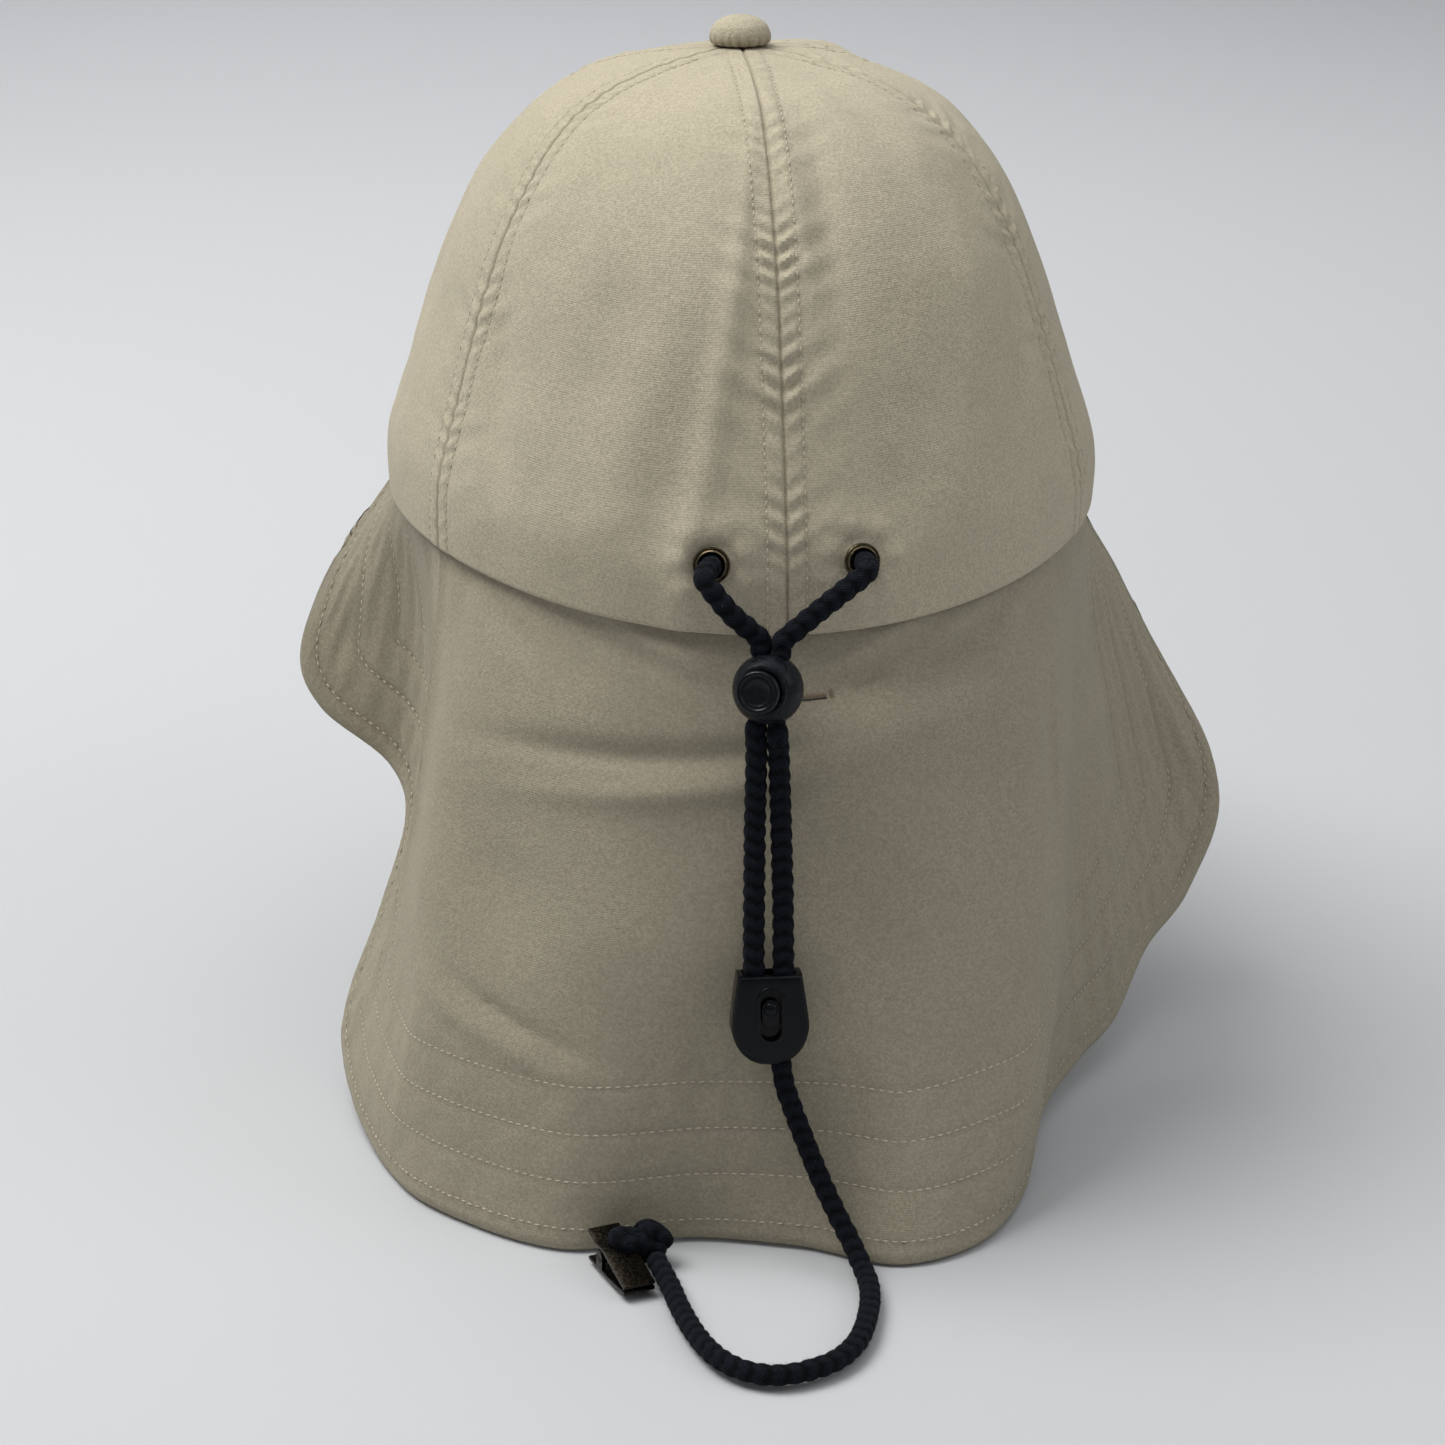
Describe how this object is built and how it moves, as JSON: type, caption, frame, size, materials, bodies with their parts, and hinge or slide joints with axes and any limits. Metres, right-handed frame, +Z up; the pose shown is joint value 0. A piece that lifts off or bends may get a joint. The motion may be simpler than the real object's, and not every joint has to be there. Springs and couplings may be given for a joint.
{
  "type": "legionnaire cap",
  "caption": "Six-panel sun cap with a peak and a long neck flap, a drawcord with ball lock at the back, and a leash with a jaw clip.",
  "frame": {"origin": "centre of the head opening, 1.5 mm above the crown's lowest edge at the centre back", "axes": "+Z up to the crown button, -Y towards the centre back with the drawcord, +Y towards the peak, +X to the right as seen from behind"},
  "size_m": [0.2354, 0.3531, 0.2579],
  "materials": {
    "khaki_cloth": "peached cotton twill, matt",
    "braided_cord": "round braided cord with light flecks, slightly fuzzy",
    "slate_plastic": "moulded, satin matt",
    "gloss_plastic": "moulded, glossy",
    "aged_brass": "antique brass plate",
    "dark_bronze": "blackened sheet metal with bright worn edges"
  },
  "bodies": {
    "cap": {"crown_panel_back_left": "khaki_cloth", "crown_panel_back_right": "khaki_cloth", "crown_panel_side_left": "khaki_cloth", "crown_panel_side_right": "khaki_cloth", "crown_panel_front_left": "khaki_cloth", "crown_panel_front_right": "khaki_cloth", "crown_button": "khaki_cloth", "peak": "khaki_cloth", "neck_flap": "khaki_cloth", "cord_casing": "khaki_cloth", "eyelet_left": "aged_brass", "eyelet_right": "aged_brass", "drawcord_inner_left": "braided_cord", "drawcord_inner_right": "braided_cord", "drawcord_left": "braided_cord", "drawcord_right": "braided_cord", "leash_cord": "braided_cord", "leash_knot": "braided_cord", "cord_lock": "slate_plastic", "cord_clip": "gloss_plastic", "jaw_lower": "dark_bronze"},
    "lock_button": {"lock_button": "slate_plastic"},
    "clip_slider": {"clip_slider": "gloss_plastic"},
    "jaw_lever": {"jaw_upper": "dark_bronze"}
  },
  "joints": [
    {"name": "lock_press", "type": "slide", "parent": "cap", "child": "lock_button", "axis": [0.3333, 0.9156, -0.225], "range_m": [0, 0.002], "stiffness_N_per_m": 300, "springref_m": -0.002},
    {"name": "slider_slide", "type": "slide", "parent": "cap", "child": "clip_slider", "axis": [0, -0.1219, -0.9925], "range_m": [-0.0018, 0.0024]},
    {"name": "jaw_hinge", "type": "hinge", "parent": "cap", "child": "jaw_lever", "pos_m": [-0.0411, -0.1294, -0.134], "axis": [-0.9455, -0.3256, 0], "range_deg": [0, 30], "stiffness_Nm_per_rad": 0.02, "springref_deg": -17.19}
  ]
}
